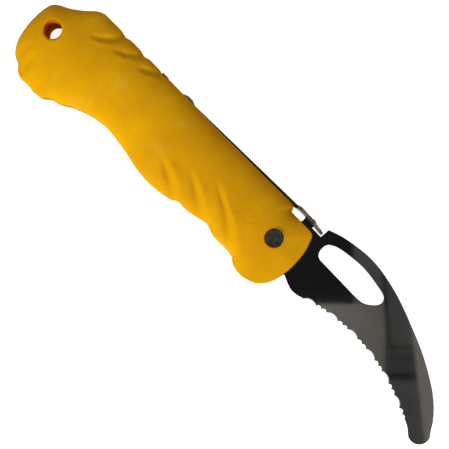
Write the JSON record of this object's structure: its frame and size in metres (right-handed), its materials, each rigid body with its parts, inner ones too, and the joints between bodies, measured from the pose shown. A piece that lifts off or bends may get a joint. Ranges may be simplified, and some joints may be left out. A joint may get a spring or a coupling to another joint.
{
  "type": "rigging knife",
  "caption": "Folding sailor's rigging knife with a hooked serrated rescue blade, an oval finger hole, moulded grip scales, a back-spring tab lock and a lanyard hole.",
  "frame": {"origin": "centre of the lanyard hole, in the middle plane of the handle", "axes": "+X along the handle towards the blade tip, +Y towards the back of the knife where the lock spring is, +Z out of the front face, along the blade pivot and the lanyard hole"},
  "size_m": [0.1954, 0.0432, 0.015],
  "materials": {
    "yellow_nylon": "glass-filled nylon moulded with a fine spark-eroded grain, safety yellow",
    "black_blade_steel": "mirror-polished stainless steel under a glossy black titanium nitride coat",
    "liner_steel": "blanked stainless sheet, dark",
    "spring_steel": "heat-coloured spring steel, brown-grey with bright rubbed edges",
    "dark_rivet_steel": "blackened steel, slightly pocked",
    "fastener_steel": "plain stainless fasteners",
    "brass": "turned brass",
    "bronze": "phosphor bronze bearing parts"
  },
  "bodies": {
    "handle": {"front_scale": "yellow_nylon", "rear_scale": "yellow_nylon", "front_liner": "liner_steel", "rear_liner": "liner_steel", "back_spacer": "yellow_nylon", "pivot_barrel": "dark_rivet_steel", "pivot_screw": "dark_rivet_steel", "front_washer": "bronze", "rear_washer": "bronze", "stop_pin": "fastener_steel", "spring_screw": "fastener_steel", "spring_anchor": "fastener_steel", "tail_screw": "fastener_steel", "mid_screw": "fastener_steel", "front_screw": "fastener_steel", "tail_insert": "brass", "mid_insert": "brass", "front_insert": "brass"},
    "blade": {"blade": "black_blade_steel", "blade_bushing": "bronze"},
    "lock_spring": {"lock_spring": "spring_steel"}
  },
  "joints": [
    {"name": "blade_fold", "type": "hinge", "parent": "handle", "child": "blade", "pos_m": [0.103, 0.005, 0], "axis": [0, 0, 1], "range_deg": [-175, 0]},
    {"name": "lock_lift", "type": "hinge", "parent": "handle", "child": "lock_spring", "pos_m": [0.0485, 0.01627, 0], "axis": [0, 0, 1], "range_deg": [0, 2], "stiffness_Nm_per_rad": 8}
  ]
}
